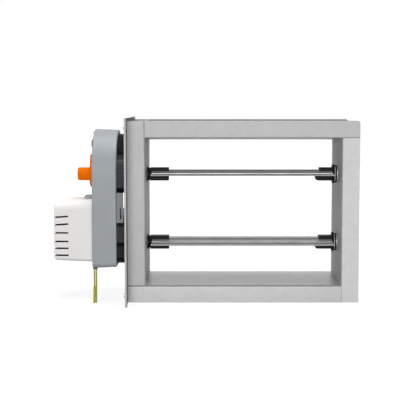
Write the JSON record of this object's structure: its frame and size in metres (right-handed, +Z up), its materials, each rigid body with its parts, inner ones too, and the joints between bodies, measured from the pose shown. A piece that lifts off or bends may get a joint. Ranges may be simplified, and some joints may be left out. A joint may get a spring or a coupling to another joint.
{
  "type": "rectangular damper",
  "caption": "Rectangular duct damper: galvanised channel frame, linked horizontal blades and a side actuator with a vented cover and an orange position knob.",
  "frame": {"origin": "centre of the duct opening in the plane of the front flange", "axes": "+X across the duct to the right as seen from the front, +Y into the duct with the air flow, +Z up"},
  "size_m": [0.4702, 0.222, 0.282],
  "materials": {
    "galvanised_steel": "galvanised, matte, faint mottling",
    "zinc_plated": "zinc plated, satin",
    "bright_steel": "turned, bare",
    "pale_plastic": "natural nylon, matte",
    "black_plastic": "moulded, matte",
    "grey_enamel": "smooth grey enamel, satin",
    "white_plastic": "moulded, satin",
    "orange_plastic": "moulded, satin gloss",
    "dark_plastic": "moulded, matte",
    "bronze": "sintered, dull",
    "gear_nylon": "natural nylon",
    "motor_steel": "drawn can, satin",
    "circuit_board": "green laminate",
    "black_rubber": "moulded",
    "yellow_insulation": "soft insulation, satin",
    "yellow_sleeve": "soft sleeve, satin"
  },
  "bodies": {
    "frame": {"top_rail": "galvanised_steel", "right_rail": "galvanised_steel", "bottom_rail": "galvanised_steel", "left_rail": "galvanised_steel", "side_plate": "galvanised_steel", "plate_brackets": "galvanised_steel", "corner_angles": "galvanised_steel", "top_stop": "zinc_plated", "backing_rings": "zinc_plated", "corner_rivets": "zinc_plated", "hem_rivets": "zinc_plated", "plate_screws": "zinc_plated", "standoff_screws": "zinc_plated", "case_screws": "zinc_plated", "lock_rings": "zinc_plated", "reduction_axle": "bright_steel", "thrust_washers": "pale_plastic", "blade_bearings": "black_plastic", "upper_standoff": "black_plastic", "lower_standoff": "black_plastic", "actuator_case": "grey_enamel", "case_base": "grey_enamel", "torque_stay": "grey_enamel", "cover_latch": "grey_enamel", "vent_cover": "white_plastic", "blanking_plug": "dark_plastic", "base_bush": "bronze", "knob_bush": "bronze", "gear_motor": "motor_steel", "control_board": "circuit_board", "board_components": "dark_plastic", "lead_grommet": "black_rubber", "left_lead": "yellow_insulation", "right_lead": "yellow_insulation", "lead_sleeve": "yellow_sleeve"},
    "upper_blade": {"upper_blade": "galvanised_steel", "upper_blade_ridge": "galvanised_steel", "upper_left_blade_end": "black_plastic", "upper_right_blade_end": "black_plastic", "drive_shaft": "bright_steel", "upper_crank": "galvanised_steel", "upper_crank_pin": "zinc_plated", "upper_crank_screw": "bright_steel", "output_gear": "gear_nylon", "override_knob": "orange_plastic"},
    "lower_blade": {"lower_blade": "galvanised_steel", "lower_blade_ridge": "galvanised_steel", "lower_left_blade_end": "black_plastic", "lower_right_blade_end": "black_plastic", "lower_pivot": "bright_steel", "lower_crank": "galvanised_steel", "lower_crank_pin": "zinc_plated", "lower_crank_screw": "bright_steel"},
    "tie_bar": {"tie_bar": "galvanised_steel"},
    "reduction_gear": {"reduction_gear": "gear_nylon"},
    "motor_rotor": {"motor_shaft": "bright_steel", "motor_pinion": "bright_steel"}
  },
  "joints": [
    {"name": "upper_blade_turn", "type": "hinge", "parent": "frame", "child": "upper_blade", "pos_m": [0, 0.075, 0.054], "axis": [1, 0, 0], "range_deg": [0, 90]},
    {"name": "lower_blade_turn", "type": "hinge", "parent": "frame", "child": "lower_blade", "pos_m": [0, 0.075, -0.054], "axis": [1, 0, 0], "range_deg": [0, 90]},
    {"name": "tie_bar_swing", "type": "hinge", "parent": "upper_blade", "child": "tie_bar", "pos_m": [-0.1648, 0.0948, 0.0342], "axis": [1, 0, 0], "range_deg": [-90, 0]},
    {"name": "reduction_turn", "type": "hinge", "parent": "frame", "child": "reduction_gear", "pos_m": [-0.2055, 0.075, 0.009], "axis": [1, 0, 0], "range_deg": [-270, 0]},
    {"name": "motor_turn", "type": "hinge", "parent": "frame", "child": "motor_rotor", "pos_m": [-0.2105, 0.075, -0.027], "axis": [1, 0, 0], "range_deg": [0, 810]}
  ],
  "couplings": [
    {"joint": "lower_blade_turn", "follows": "upper_blade_turn", "ratio": 1},
    {"joint": "tie_bar_swing", "follows": "upper_blade_turn", "ratio": -1},
    {"joint": "reduction_turn", "follows": "upper_blade_turn", "ratio": -3},
    {"joint": "motor_turn", "follows": "upper_blade_turn", "ratio": 9}
  ]
}
